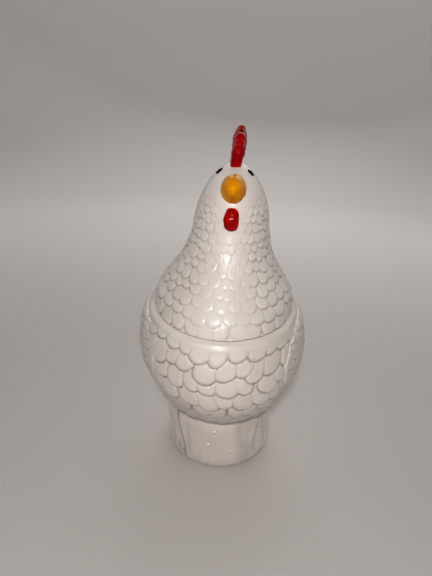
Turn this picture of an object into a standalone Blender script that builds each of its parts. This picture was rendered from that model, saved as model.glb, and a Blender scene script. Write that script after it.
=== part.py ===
"""A lidded ceramic hen jar: a belly on a round pedestal, and a lid that is the hen's neck and head.

Metres, +Z up, feet of the pedestal at z 0. The hen faces -Y, so its left side is at +X.
The jar and the lid are hollow castings of even wall. The wings, the tail, the comb, the beak,
the wattle and the eyes are sprigged on before firing, so each is a piece of its own, and a thin
line of slip, GAP thick, lies between it and the surface that it sits on.
"""

import math

import bmesh
import bpy
from mathutils import Euler, Matrix, Vector

# ---------------------------------------------------------------- driving dimensions
HEIGHT = 0.250          # table to the top of the comb
AXIS_Y = -0.0122        # the pedestal's axis: the tail reaches further back than the breast forward
FOOT_SWAY = 0.0018      # the pedestal and the head stand this far to the left of the belly
HEAD_SWAY = 0.0019
SEAM_Z = 0.129          # the jar's rim, where the lid rests
LID_REST = 0.0003       # the unglazed lid stands this far above the rim
GAP = 0.0003            # slip line between castings
JAR_WALL = 0.0045
LID_WALL = 0.0035
FOOT_RADIUS = 0.0428
FOOT_HEIGHT = 0.0467
FOOT_WALL = 0.0065
BELLY_FLOOR_Z = 0.0470
FLANGE_CLEARANCE = 0.0014   # between the lid's locating flange and the jar's mouth
FLANGE_DEPTH = 0.0080
HEAD_TOP_Z = 0.2270
CROWN = Vector((HEAD_SWAY, 0, HEAD_TOP_Z))

AROUND = 36             # facets round an oval section
BETWEEN = 2             # sections from one station to the next

# Stations: height, how far the surface reaches to each side, to the front and to the back, and
# its sway, the small lateral lean that the casting took in the kiln (towards the hen's left).
BELLY = (
    (0.0480, 0.0372, 0.0420, 0.0400, 0.0018),
    (0.0550, 0.0440, 0.0520, 0.0520, 0.0016),
    (0.0670, 0.0506, 0.0632, 0.0636, 0.0011),
    (0.0810, 0.0562, 0.0724, 0.0714, 0.0005),
    (0.0950, 0.0591, 0.0758, 0.0745, 0.0000),
    (0.1100, 0.0582, 0.0745, 0.0730, -0.0003),
    (0.1210, 0.0555, 0.0712, 0.0690, -0.0005),
    (0.1270, 0.0528, 0.0680, 0.0660, -0.0005),
)
RIM_EDGE = (SEAM_Z, 0.0508, 0.0655, 0.0635, -0.0005)
MOUTH = (SEAM_Z, 0.0472, 0.0620, 0.0600, -0.0005)
NECK = (
    (SEAM_Z + LID_REST, 0.0502, 0.0668, 0.0648, -0.0005),
    (0.1390, 0.0485, 0.0630, 0.0620, -0.0004),
    (0.1480, 0.0430, 0.0560, 0.0560, -0.0001),
    (0.1580, 0.0360, 0.0480, 0.0480, 0.0003),
    (0.1700, 0.0298, 0.0400, 0.0400, 0.0009),
    (0.1840, 0.0264, 0.0350, 0.0340, 0.0014),
    (0.1980, 0.0240, 0.0320, 0.0290, 0.0018),
    (0.2080, 0.0208, 0.0290, 0.0250, 0.0019),
    (0.2160, 0.0162, 0.0240, 0.0205, 0.0019),
    (0.2220, 0.0112, 0.0170, 0.0150, 0.0019),
    (0.2258, 0.0058, 0.0085, 0.0080, 0.0019),
)

GLAZE_WHITE = (0.80, 0.76, 0.73, 1.0)
COMB_RED = (0.42, 0.010, 0.015, 1.0)
WATTLE_RED = (0.45, 0.012, 0.010, 1.0)
BEAK_YELLOW = (0.78, 0.32, 0.02, 1.0)
EYE_BLACK = (0.01, 0.01, 0.01, 1.0)


# ---------------------------------------------------------------- scene, material, objects
def clear_scene():
    for obj in list(bpy.data.objects):
        bpy.data.objects.remove(obj, do_unlink=True)


def new_collection(name, helper=False):
    collection = bpy.data.collections.new(name)
    bpy.context.scene.collection.children.link(collection)
    collection.hide_render = helper
    return collection


def glaze(name, colour, roughness):
    material = bpy.data.materials.new(name)
    material.use_nodes = True
    shader = material.node_tree.nodes["Principled BSDF"]
    shader.inputs["Base Color"].default_value = colour
    shader.inputs["Roughness"].default_value = roughness
    shader.inputs["Metallic"].default_value = 0.0
    return material


def new_empty(name, collection, location):
    empty = bpy.data.objects.new(name, None)
    empty.location = location
    collection.objects.link(empty)
    return empty


def new_piece(name, bm, collection, parent, material=None):
    """The object that holds bm's faces, shaded smooth."""
    mesh = bpy.data.meshes.new(name)
    bm.to_mesh(mesh)
    bm.free()
    mesh.shade_smooth()
    obj = bpy.data.objects.new(name, mesh)
    obj.parent = parent
    collection.objects.link(obj)
    if material:
        mesh.materials.append(material)
    return obj


def mark_as_cutter(obj):
    obj.hide_render = True
    obj.display_type = "WIRE"
    return obj


# ---------------------------------------------------------------- modifiers
def thicken_inwards(obj, wall):
    solidify = obj.modifiers.new("wall", "SOLIDIFY")
    solidify.thickness = wall
    solidify.offset = -1.0
    solidify.use_even_offset = True
    solidify.use_quality_normals = True


def swell(obj, distance):
    """Moves the whole surface outwards, along its normals."""
    displace = obj.modifiers.new("slip_line", "DISPLACE")
    displace.strength = distance
    displace.mid_level = 0.0


def cut(obj, cutter):
    boolean = obj.modifiers.new("seated_on_" + cutter.name, "BOOLEAN")
    boolean.operation = "DIFFERENCE"
    boolean.object = cutter
    boolean.solver = "EXACT"


# ---------------------------------------------------------------- section lofts
def smoothed(stations):
    """The stations with BETWEEN - 1 more from each to the next, on a Catmull-Rom curve."""
    padded = (stations[0], *stations, stations[-1])
    rows = []
    for row in zip(padded, padded[1:], padded[2:], padded[3:]):
        for step in range(BETWEEN):
            t = step / BETWEEN
            rows.append([catmull_rom(*values, t) for values in zip(*row)])
    return rows + [list(stations[-1])]


def catmull_rom(before, here, there, after, t):
    bend = 2 * before - 5 * here + 4 * there - after
    twist = 3 * here - before - 3 * there + after
    return here + 0.5 * t * (there - before + t * (bend + t * twist))


def oval_point(angle, z, side, front, back, sway):
    """A point of a level oval, at an angle from its front, turning to the hen's left."""
    reach = front if math.cos(angle) > 0 else back
    return Vector((sway + side * math.sin(angle), -reach * math.cos(angle), z))


def oval_section(station):
    return [oval_point(2 * math.pi * k / AROUND, *station) for k in range(AROUND)]


def loft(sections, start=None, end=None):
    """A surface through sections of equal length. start and end are points that close it."""
    bm = bmesh.new()
    rings = [[bm.verts.new(point) for point in section] for section in sections]
    count = len(sections[0])
    for lower, upper in zip(rings, rings[1:]):
        for k in range(count):
            n = (k + 1) % count
            bm.faces.new((lower[k], lower[n], upper[n], upper[k]))
    for ring, point in ((rings[0][::-1], start), (rings[-1], end)):
        if point is not None:
            pole = bm.verts.new(point)
            for k in range(count):
                bm.faces.new((ring[k], ring[(k + 1) % count], pole))
    return bm


def surface_point(stations, angle, z):
    """The point of a lofted surface at a height and at an angle from the front."""
    rows = smoothed(stations)
    upper = next(k for k, row in enumerate(rows) if row[0] >= z)
    low, high = rows[upper - 1], rows[upper]
    share = (z - low[0]) / (high[0] - low[0])
    return oval_point(angle, *(a + (b - a) * share for a, b in zip(low, high)))


def stand_on(stations, angle, z):
    """The matrix of a place on the surface: +Z out of it, +Y up along it and +X to its right."""
    here = surface_point(stations, angle, z)
    across = (surface_point(stations, angle + 0.01, z) - here).normalized()
    out = across.cross(surface_point(stations, angle, z + 0.0004) - here).normalized()
    axes = Matrix((across, out.cross(across), out)).transposed()
    return Matrix.Translation(here) @ axes.to_4x4()


# ---------------------------------------------------------------- the jar
def belly_sections():
    """From the floor's edge, up the outside and over the rolled rim."""
    floor_edge = (BELLY_FLOOR_Z, 0.0330, 0.0360, 0.0350, FOOT_SWAY)
    return [oval_section(row) for row in (floor_edge, *smoothed(BELLY), RIM_EDGE)]


def make_jar_body(collection, parent, material):
    """The belly with its floor and, inside the rolled rim, a level land round the mouth."""
    floor_centre = Vector((FOOT_SWAY, 0, BELLY_FLOOR_Z))
    bm = loft([*belly_sections(), oval_section(MOUTH)], start=floor_centre)
    jar = new_piece("jar_body", bm, collection, parent, material)
    thicken_inwards(jar, JAR_WALL)
    return jar


def make_belly_cutter(collection, parent):
    floor_centre = Vector((FOOT_SWAY, 0, BELLY_FLOOR_Z))
    bm = loft(belly_sections(), start=floor_centre, end=Vector((0, 0, SEAM_Z)))
    cutter = new_piece("belly_surface", bm, collection, parent)
    swell(cutter, GAP)
    return mark_as_cutter(cutter)


def make_pedestal(collection, parent, material):
    """A turned ring, open underneath and at the top, where the belly closes it."""
    outer = FOOT_RADIUS
    inner = outer - FOOT_WALL
    profile = (
        (outer - 0.0030, FOOT_HEIGHT),
        (outer - 0.0012, FOOT_HEIGHT - 0.0015),
        (outer - 0.0003, FOOT_HEIGHT - 0.0060),
        (outer, 0.0240),
        (outer - 0.0002, 0.0090),
        (outer - 0.0012, 0.0035),
        (outer - 0.0030, 0.0008),
        (outer - 0.0042, 0.0),
        (inner + 0.0004, 0.0),
        (inner, 0.0012),
        (inner, FOOT_HEIGHT),
    )
    bm = bmesh.new()
    line = [bm.verts.new((radius, 0, z)) for radius, z in profile]
    for k, vert in enumerate(line):
        bm.edges.new((vert, line[(k + 1) % len(line)]))
    mesh = bpy.data.meshes.new("pedestal_foot")
    bm.to_mesh(mesh)
    bm.free()
    mesh.materials.append(material)
    foot = bpy.data.objects.new("pedestal_foot", mesh)
    foot.location.x = FOOT_SWAY
    foot.parent = parent
    collection.objects.link(foot)
    screw = foot.modifiers.new("turned", "SCREW")
    screw.steps = AROUND
    screw.render_steps = AROUND
    screw.use_merge_vertices = True
    screw.merge_threshold = 0.0001
    screw.use_smooth_shade = True
    return foot


# ---------------------------------------------------------------- the wings
WING_LEADING = math.radians(47)     # angle from the breast to the leading edge
WING_TIP = math.radians(128)
WING_LEADING_Z = 0.0985
WING_TIP_Z = 0.1090
WING_HALF_HEIGHT = 0.0225
WING_SHOULDER = 0.35                # share of the wing's length in front of its highest place
WING_THICKNESS = 0.0036
WING_COLUMNS = 14
WING_ROWS = 6


def wing_point(side, u, v):
    """u runs from the leading edge to the tip, and v from the lower edge, -1, to the upper, 1."""
    angle = side * (WING_LEADING + u * (WING_TIP - WING_LEADING))
    if u < WING_SHOULDER:
        share = math.sqrt(1 - (1 - u / WING_SHOULDER) ** 2)
    else:
        share = 1 - 0.8 * ((u - WING_SHOULDER) / (1 - WING_SHOULDER)) ** 1.7
    half_height = WING_HALF_HEIGHT * max(share, 0.16)
    z = WING_LEADING_Z + u * (WING_TIP_Z - WING_LEADING_Z) + v * half_height
    return stand_on(BELLY, angle, z) @ Vector((0, 0, 1.5 * GAP))


def make_wing(name, side, collection, parent, material):
    """A patch laid over the belly and thickened outwards. side is 1 on the left, -1 on the right."""
    bm = bmesh.new()
    grid = []
    for i in range(WING_COLUMNS + 1):
        points = [wing_point(side, i / WING_COLUMNS, 2 * j / WING_ROWS - 1) for j in range(WING_ROWS + 1)]
        grid.append([bm.verts.new(point) for point in points])
    for left, right in zip(grid, grid[1:]):
        for j in range(WING_ROWS):
            corners = (left[j], right[j], right[j + 1], left[j + 1])
            bm.faces.new(corners if side > 0 else corners[::-1])
    wing = new_piece(name, bm, collection, parent, material)
    solidify = wing.modifiers.new("thickness", "SOLIDIFY")
    solidify.thickness = WING_THICKNESS
    solidify.offset = 1.0
    bevel = wing.modifiers.new("rounded_edge", "BEVEL")
    bevel.width = 0.0014
    bevel.segments = 1
    bevel.limit_method = "ANGLE"
    bevel.angle_limit = math.radians(50)
    return wing


# ---------------------------------------------------------------- the tail
# Stations up the tail: place behind the axis, height, lean from level, half width, half depth.
TAIL = (
    (0.0560, 0.0900, 22, 0.0250, 0.0220),
    (0.0740, 0.1040, 42, 0.0235, 0.0180),
    (0.0850, 0.1220, 62, 0.0235, 0.0146),
    (0.0895, 0.1390, 72, 0.0240, 0.0114),
    (0.0915, 0.1550, 78, 0.0205, 0.0080),
    (0.0925, 0.1640, 80, 0.0125, 0.0050),
)
TAIL_TIP = (0.0930, 0.1675)
TAIL_AROUND = 24


def tilted_section(place, z, lean, half_width, half_depth):
    """An oval across a spine that leans back: the lean is the spine's angle above level."""
    lean = math.radians(lean)
    forward = Vector((0, -math.sin(lean), math.cos(lean)))
    points = []
    for k in range(TAIL_AROUND):
        angle = 2 * math.pi * k / TAIL_AROUND
        across = Vector((half_width * math.sin(angle), 0, 0))
        points.append(Vector((0, place, z)) + across + forward * half_depth * math.cos(angle))
    return points


def make_tail(collection, parent, belly_surface, material):
    sections = [tilted_section(*row) for row in smoothed(TAIL)]
    root = Vector((0, TAIL[0][0], TAIL[0][1]))
    tip = Vector((0, *TAIL_TIP))
    bm = loft(sections, start=root, end=tip)
    tail = new_piece("tail", bm, collection, parent, material)
    cut(tail, belly_surface)
    return tail


# ---------------------------------------------------------------- the lid
def neck_sections():
    return [oval_section(row) for row in smoothed(NECK)]


def make_lid_shell(collection, parent, material):
    """The neck and head, with a level seat turned in under the rim and a flange down into the mouth."""
    reach = [distance - FLANGE_CLEARANCE for distance in MOUTH[1:4]]
    flange_end = oval_section((SEAM_Z - FLANGE_DEPTH, *reach, MOUTH[4]))
    flange_root = oval_section((SEAM_Z + LID_REST, *reach, MOUTH[4]))
    bm = loft([flange_end, flange_root, *neck_sections()], end=CROWN)
    lid = new_piece("lid_shell", bm, collection, parent, material)
    thicken_inwards(lid, LID_WALL)
    return lid


def make_neck_cutter(collection, parent):
    seat_centre = Vector((0, 0, SEAM_Z + LID_REST))
    cutter = new_piece("neck_surface", loft(neck_sections(), seat_centre, CROWN), collection, parent)
    swell(cutter, GAP)
    return mark_as_cutter(cutter)


# ---------------------------------------------------------------- the face
# Each lobe of the comb, front to back: its centre's place and height, and its radius.
COMB_LOBES = (
    (-0.0056, 0.2343, 0.0052),
    (0.0022, 0.2399, 0.0059),
    (0.0110, 0.2434, 0.0066),
)
COMB_THICKNESS = 0.0066
COMB_EDGE = 0.0025          # radius of its rounded edge
COMB_ROOT_Z = 0.2150        # hidden in the head, where the cut ends it
COMB_FRONT = -0.0100
COMB_BACK = 0.0165
COMB_LEAN = math.radians(8)     # its top leans to the hen's left
COMB_TURN = math.radians(3)
COMB_TAPER = 0.12               # share of its thickness lost from root to top

BEAK_Z = 0.2137
BEAK_RISE = math.radians(14)    # the beak points a little up
BEAK_ROOT = -0.0080             # in the head, from the surface
BEAK_LENGTH = 0.0210
# Sections from root to tip: share of the beak's length, half width, half height.
BEAK = (
    (0.00, 0.0088, 0.0102),
    (0.38, 0.0078, 0.0092),
    (0.62, 0.0064, 0.0074),
    (0.82, 0.0043, 0.0050),
    (0.95, 0.0021, 0.0025),
)
BEAK_AROUND = 18

WATTLE_Z = 0.1965
WATTLE_SIZE = (0.0049, 0.0072, 0.0042)      # half width, half height, half depth
EYE_ANGLE = math.radians(63)                # from the beak, round to each side
EYE_Z = 0.2218
EYE_SIZE = (0.0022, 0.0031, 0.0010)


def comb_outline():
    """Points round the comb's side view: up the front, over the lobes and down the back."""
    points = [(COMB_FRONT, COMB_ROOT_Z)]
    for place, z, radius in COMB_LOBES:
        for degrees in range(190, 9, -20):
            angle = math.radians(degrees)
            points.append((place + radius * math.cos(angle), z + radius * math.sin(angle)))
    return [point for point in points if outside_lobes(*point)] + [(COMB_BACK, COMB_ROOT_Z)]


def outside_lobes(place, z):
    """True unless the point lies inside a lobe, as an arc's end does inside the next lobe."""
    return all(math.hypot(place - y0, z - z0) > radius - 1e-6 for y0, z0, radius in COMB_LOBES)


def make_comb(collection, parent, neck_surface, material):
    curve = bpy.data.curves.new("comb_outline", "CURVE")
    curve.dimensions = "2D"
    curve.fill_mode = "BOTH"
    curve.extrude = COMB_THICKNESS / 2 - COMB_EDGE
    curve.bevel_depth = COMB_EDGE
    curve.bevel_resolution = 1
    curve.offset = -COMB_EDGE
    outline = comb_outline()
    spline = curve.splines.new("POLY")
    spline.points.add(len(outline) - 1)
    for point, (place, z) in zip(spline.points, outline):
        point.co = (place, z - HEAD_TOP_Z, 0, 1)
    spline.use_cyclic_u = True
    drawn = bpy.data.objects.new("comb_drawn", curve)
    collection.objects.link(drawn)
    bm = welded_mesh_of(drawn)
    for vert in bm.verts:
        vert.co.z *= 1 - COMB_TAPER * max(0.0, vert.co.y) / (HEIGHT - HEAD_TOP_Z)
    bm.transform(comb_stand())
    comb = new_piece("comb", bm, collection, parent, material)
    cut(comb, neck_surface)
    return comb


def comb_stand():
    """Stands the flat outline upright, fore and aft, then leans and turns it about the crown."""
    upright = Euler((math.pi / 2, 0, math.pi / 2)).to_matrix().to_4x4()
    lean = Matrix.Rotation(COMB_LEAN, 4, "Y")
    turn = Matrix.Rotation(COMB_TURN, 4, "Z")
    return Matrix.Translation(CROWN) @ turn @ lean @ upright


def welded_mesh_of(drawn):
    """The closed mesh of a curve object, which is then removed."""
    bpy.context.view_layer.update()
    graph = bpy.context.evaluated_depsgraph_get()
    mesh = bpy.data.meshes.new_from_object(drawn.evaluated_get(graph))
    bm = bmesh.new()
    bm.from_mesh(mesh)
    bmesh.ops.remove_doubles(bm, verts=bm.verts, dist=0.00002)
    bmesh.ops.recalc_face_normals(bm, faces=bm.faces)
    bpy.data.objects.remove(drawn)
    bpy.data.meshes.remove(mesh)
    return bm


def make_beak(collection, parent, neck_surface, material):
    """A blunt cone, higher than wide, lofted along +Z and then laid along the beak's line."""
    sections = []
    for share, half_width, half_height in smoothed(BEAK):
        z = BEAK_ROOT + share * BEAK_LENGTH
        section = []
        for k in range(BEAK_AROUND):
            angle = 2 * math.pi * k / BEAK_AROUND
            section.append(Vector((half_width * math.cos(angle), half_height * math.sin(angle), z)))
        sections.append(section)
    bm = loft(sections, Vector((0, 0, BEAK_ROOT)), Vector((0, 0, BEAK_ROOT + BEAK_LENGTH)))
    forward = Matrix.Rotation(math.pi / 2 - BEAK_RISE, 4, "X")
    bm.transform(Matrix.Translation(surface_point(NECK, 0, BEAK_Z)) @ forward)
    beak = new_piece("beak", bm, collection, parent, material)
    cut(beak, neck_surface)
    return beak


def make_bead(name, size, place, collection, parent, neck_surface, material):
    """An oval bead pressed onto the head: a sphere stretched to size and stood at place."""
    bm = bmesh.new()
    bmesh.ops.create_uvsphere(bm, u_segments=14, v_segments=8, radius=1.0)
    bm.transform(place @ Matrix.Diagonal((*size, 1.0)))
    bead = new_piece(name, bm, collection, parent, material)
    cut(bead, neck_surface)
    return bead


# ---------------------------------------------------------------- the whole
def main():
    clear_scene()
    parts = new_collection("hen_jar")
    cutters = new_collection("hen_jar_cutters", helper=True)
    white = glaze("white_glaze", GLAZE_WHITE, 0.12)
    red = glaze("comb_glaze", COMB_RED, 0.10)
    wattle_red = glaze("wattle_glaze", WATTLE_RED, 0.10)
    yellow = glaze("beak_glaze", BEAK_YELLOW, 0.10)
    black = glaze("eye_glaze", EYE_BLACK, 0.08)

    jar = new_empty("jar", parts, (0, AXIS_Y, 0))
    make_jar_body(parts, jar, white)
    make_pedestal(parts, jar, white)
    belly_surface = make_belly_cutter(cutters, jar)
    make_wing("wing_left", 1, parts, jar, white)
    make_wing("wing_right", -1, parts, jar, white)
    make_tail(parts, jar, belly_surface, white)

    lid = new_empty("lid", parts, (0, AXIS_Y, 0))
    make_lid_shell(parts, lid, white)
    neck_surface = make_neck_cutter(cutters, lid)
    make_comb(parts, lid, neck_surface, red)
    make_beak(parts, lid, neck_surface, yellow)
    throat = stand_on(NECK, 0, WATTLE_Z)
    make_bead("wattle", WATTLE_SIZE, throat, parts, lid, neck_surface, wattle_red)
    for name, angle in (("eye_left", EYE_ANGLE), ("eye_right", -EYE_ANGLE)):
        make_bead(name, EYE_SIZE, stand_on(NECK, angle, EYE_Z), parts, lid, neck_surface, black)


main()
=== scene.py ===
"""Lidded ceramic hen jar: the visual model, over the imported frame.

Metres, +Z up. The hen faces -Y and its left side is at +X. Each visual piece replaces one CAD
node and rides on that node's body. The scales of the plumage are real relief on the surface.
"""

import math

import bmesh
import bpy
import numpy as np
from mathutils import Euler, Matrix, Vector


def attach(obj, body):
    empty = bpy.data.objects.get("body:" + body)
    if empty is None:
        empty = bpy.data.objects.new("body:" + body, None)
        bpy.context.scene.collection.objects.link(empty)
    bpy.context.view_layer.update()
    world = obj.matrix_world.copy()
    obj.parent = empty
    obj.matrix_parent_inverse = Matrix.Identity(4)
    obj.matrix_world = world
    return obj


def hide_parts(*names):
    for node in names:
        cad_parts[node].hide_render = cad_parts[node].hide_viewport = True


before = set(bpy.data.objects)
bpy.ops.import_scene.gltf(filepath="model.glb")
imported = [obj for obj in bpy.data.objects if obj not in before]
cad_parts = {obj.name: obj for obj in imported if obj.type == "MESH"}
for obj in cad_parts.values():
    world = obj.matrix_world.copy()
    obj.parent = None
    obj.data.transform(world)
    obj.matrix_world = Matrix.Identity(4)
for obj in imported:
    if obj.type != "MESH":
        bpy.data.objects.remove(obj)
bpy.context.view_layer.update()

# ---------------------------------------------------------------- the CAD's dimensions
HEIGHT = 0.250
AXIS_Y = -0.0122
FOOT_SWAY = 0.0018
HEAD_SWAY = 0.0019
SEAM_Z = 0.129
LID_REST = 0.0003
JAR_WALL = 0.0045
LID_WALL = 0.0035
FOOT_RADIUS = 0.0428
FOOT_HEIGHT = 0.0467
FOOT_WALL = 0.0065
BELLY_FLOOR_Z = 0.0470
FLANGE_CLEARANCE = 0.0014
FLANGE_DEPTH = 0.0080
HEAD_TOP_Z = 0.2270
CROWN = Vector((HEAD_SWAY, 0, HEAD_TOP_Z))

# Height, reach to each side, to the front and to the back, and sway to the hen's left.
FLOOR_EDGE = (BELLY_FLOOR_Z, 0.0330, 0.0360, 0.0350, 0.0018)
BELLY = (
    (0.0480, 0.0372, 0.0420, 0.0400, 0.0018),
    (0.0550, 0.0440, 0.0520, 0.0520, 0.0016),
    (0.0670, 0.0506, 0.0632, 0.0636, 0.0011),
    (0.0810, 0.0562, 0.0724, 0.0714, 0.0005),
    (0.0950, 0.0591, 0.0758, 0.0745, 0.0000),
    (0.1100, 0.0582, 0.0745, 0.0730, -0.0003),
    (0.1210, 0.0555, 0.0712, 0.0690, -0.0005),
    (0.1270, 0.0528, 0.0680, 0.0660, -0.0005),
)
MOUTH = (SEAM_Z, 0.0472, 0.0620, 0.0600, -0.0005)
NECK = (
    (SEAM_Z + LID_REST, 0.0502, 0.0668, 0.0648, -0.0005),
    (0.1390, 0.0485, 0.0630, 0.0620, -0.0004),
    (0.1480, 0.0430, 0.0560, 0.0560, -0.0001),
    (0.1580, 0.0360, 0.0480, 0.0480, 0.0003),
    (0.1700, 0.0298, 0.0400, 0.0400, 0.0009),
    (0.1840, 0.0264, 0.0350, 0.0340, 0.0014),
    (0.1980, 0.0240, 0.0320, 0.0290, 0.0018),
    (0.2080, 0.0208, 0.0290, 0.0250, 0.0019),
    (0.2160, 0.0162, 0.0240, 0.0205, 0.0019),
    (0.2220, 0.0112, 0.0170, 0.0150, 0.0019),
    (0.2258, 0.0058, 0.0085, 0.0080, 0.0019),
)


# ---------------------------------------------------------------- curves, surfaces, noise
def catmull_rom(table, t):
    """Rows of the table at the real-valued places t, on a smooth curve through its rows."""
    table = np.array(table, dtype=float)
    last = len(table) - 1
    k = np.clip(t.astype(int), 0, last - 1)
    u = (t - k)[:, None]
    before, here, there, after = (table[np.clip(k + i, 0, last)] for i in (-1, 0, 1, 2))
    bend = 2 * before - 5 * here + 4 * there - after
    twist = 3 * here - before - 3 * there + after
    return here + 0.5 * u * (there - before + u * (bend + u * twist))


def even_rows(table, spacing):
    """Rows evenly spaced along the surface, with each row's distance from the first."""
    t = np.linspace(0, len(table) - 1, 60 * (len(table) - 1) + 1)
    rows = catmull_rom(table, t)
    reach = rows[:, 1:4].mean(axis=1)
    steps = np.hypot(np.diff(rows[:, 0]), np.diff(reach))
    along = np.concatenate(([0.0], np.cumsum(steps)))
    count = int(math.ceil(along[-1] / spacing))
    even = np.linspace(0, along[-1], count + 1)
    return catmull_rom(table, np.interp(even, along, t)), even


def reaches_at(table, z, spacing=0.0005):
    """The smooth surface's reach to the side, front and back, and its sway, at heights z."""
    dense, _ = even_rows(table, spacing)
    return [np.interp(z, dense[:, 0], dense[:, k]) for k in range(1, 5)]


def ovals(rows, theta):
    """A grid of points: one level oval for each row. theta is the angle from the breast."""
    z, side, front, back, sway = (column[:, None] for column in np.asarray(rows, dtype=float).T)
    reach = np.where(np.cos(theta) > 0, front, back)
    x = sway + side * np.sin(theta)
    y = AXIS_Y - reach * np.cos(theta)
    return np.stack((x, y, np.broadcast_to(z, x.shape)), axis=-1)


def unit(vectors):
    return vectors / np.maximum(np.linalg.norm(vectors, axis=-1, keepdims=True), 1e-12)


def grid_normals(points, wraps=True):
    """Outward normals of a grid whose rows rise and whose columns turn to the left."""
    if wraps:
        across = np.roll(points, -1, axis=1) - np.roll(points, 1, axis=1)
    else:
        across = np.gradient(points, axis=1)
    return unit(np.cross(across, np.gradient(points, axis=0)))


def smoothstep(low, high, value):
    t = np.clip((value - low) / (high - low), 0, 1)
    return t * t * (3 - 2 * t)


def value_noise(u, v, columns, rows, seed):
    """Smooth noise from -1 to 1. u wraps after 1 and v runs from 0 to 1."""
    lattice = np.random.default_rng(seed).uniform(-1, 1, (rows + 2, columns))
    x = np.mod(u, 1.0) * columns
    y = np.clip(v, 0, 1) * rows
    i = np.floor(x).astype(int)
    j = np.floor(y).astype(int)
    fx = smoothstep(0, 1, x - i)
    fy = smoothstep(0, 1, y - j)
    i0, i1 = i % columns, (i + 1) % columns
    j0, j1 = np.minimum(j, rows + 1), np.minimum(j + 1, rows + 1)
    low = lattice[j0, i0] * (1 - fx) + lattice[j0, i1] * fx
    high = lattice[j1, i0] * (1 - fx) + lattice[j1, i1] * fx
    return low * (1 - fy) + high * fy


# ---------------------------------------------------------------- plumage
SIDEWAYS_STRAY = 0.17       # of a scale's width
LENGTHWAYS_STRAY = 0.20     # of the spacing of its row
NARROWER, WIDER = 0.10, 0.14
LOWEST_LIFT = 0.78
REACH_UP = 3.6              # row spacings that a scale runs on under the rows above it
TIP_RISE = 1.10
SLOPE = 0.42                # lost in height for each row spacing
LEAST_RISE = 0.12
EDGE_WIDTH = 0.20           # how far the groove round a scale reaches into it
SHARED_HEIGHT = 0.90        # of the height stays where two scales of a row touch
SHARED_CREASE = 0.72


def plumage(x, y, tips, around, seed, spread, loose, edge, length=0.78):
    """Relief from 0 to 1 of overlapping scales, and the same for their creases, 0 in the deepest: a
    mask of painted shade.

    x counts scales across and y is the distance along, in metres. tips lists each row's tip and
    its spacing, the lowest row first: a row's scales lie over those of the rows before it. spread
    is a scale's width in spacings, length its round end in row spacings, loose how irregular the
    scales are and edge how far their rounding reaches in.
    """
    rng = np.random.default_rng(seed)
    relief = np.zeros(x.shape)
    crease = np.ones(x.shape)
    for row, (tip, pitch) in enumerate(tips):
        shift = rng.uniform(-SIDEWAYS_STRAY, SIDEWAYS_STRAY, around) * loose
        drop = rng.uniform(-LENGTHWAYS_STRAY, LENGTHWAYS_STRAY, around) * loose * pitch
        half = 0.5 * spread * (1 + rng.uniform(-NARROWER, WIDER, around) * loose)
        lift = rng.uniform(LOWEST_LIFT, 1.0, around)
        band = (y > tip - 0.5 * pitch) & (y < tip + REACH_UP * pitch)
        if not band.any():
            continue
        xs = x[band] + 0.5 * (row % 2)
        ys = y[band] - tip
        margin = np.full(xs.shape, -1.0)
        second = np.full(xs.shape, -1.0)
        height = np.zeros(xs.shape)
        for near in (-1, 0, 1):
            centre = np.floor(xs + 0.5) + near
            k = centre.astype(int) % around
            dx = (xs - centre - shift[k]) / half[k]
            dy = (ys - drop[k]) / (length * pitch)
            inside = 1 - np.sqrt(dx**2 + np.clip(1 - dy, 0, None) ** 2)
            rise = np.clip(TIP_RISE - SLOPE * (ys - drop[k]) / pitch, LEAST_RISE, 1)
            rounding = np.sqrt(np.clip(1 - (1 - np.clip(inside / edge, 0, 1)) ** 2, 0, 1))
            better = inside > margin
            second = np.where(better, margin, np.maximum(second, inside))
            margin = np.where(better, inside, margin)
            height = np.where(better, lift[k] * rise * rounding, height)
        covers = margin > 0
        apart = smoothstep(0, EDGE_WIDTH, margin - second)
        share = SHARED_HEIGHT + (1 - SHARED_HEIGHT) * apart
        relief[band] = np.where(covers, height * share, relief[band])
        between = SHARED_CREASE + (1 - SHARED_CREASE) * apart
        edge_line = np.minimum(smoothstep(0, EDGE_WIDTH, margin), between)
        crease[band] = np.where(covers, edge_line, crease[band])
    return relief, crease


def rows_of_tips(first, last, first_pitch, last_pitch):
    """Each row's tip and spacing, the lowest first, built from the first tip towards the last."""
    tips = []
    place = first
    while (last - place) * (last - first) > 0:
        share = (place - first) / (last - first)
        pitch = first_pitch + (last_pitch - first_pitch) * share
        tips.append((place, pitch))
        place += math.copysign(pitch, last - first)
    return sorted(tips)


# ---------------------------------------------------------------- mesh makers
def make_object(name, verts, faces, materials, face_materials, crease):
    """A smooth-shaded object. face_materials may be None, and crease has a value for each point."""
    mesh = bpy.data.meshes.new(name)
    mesh.from_pydata(verts, [], faces)
    mesh.update()
    for material in materials:
        mesh.materials.append(material)
    if face_materials is not None:
        mesh.polygons.foreach_set("material_index", face_materials)
    layer = mesh.attributes.new("crease", "FLOAT", "POINT")
    layer.data.foreach_set("value", np.asarray(crease, dtype=np.float32))
    mesh.shade_smooth()
    obj = bpy.data.objects.new(name, mesh)
    bpy.context.scene.collection.objects.link(obj)
    return obj


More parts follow.
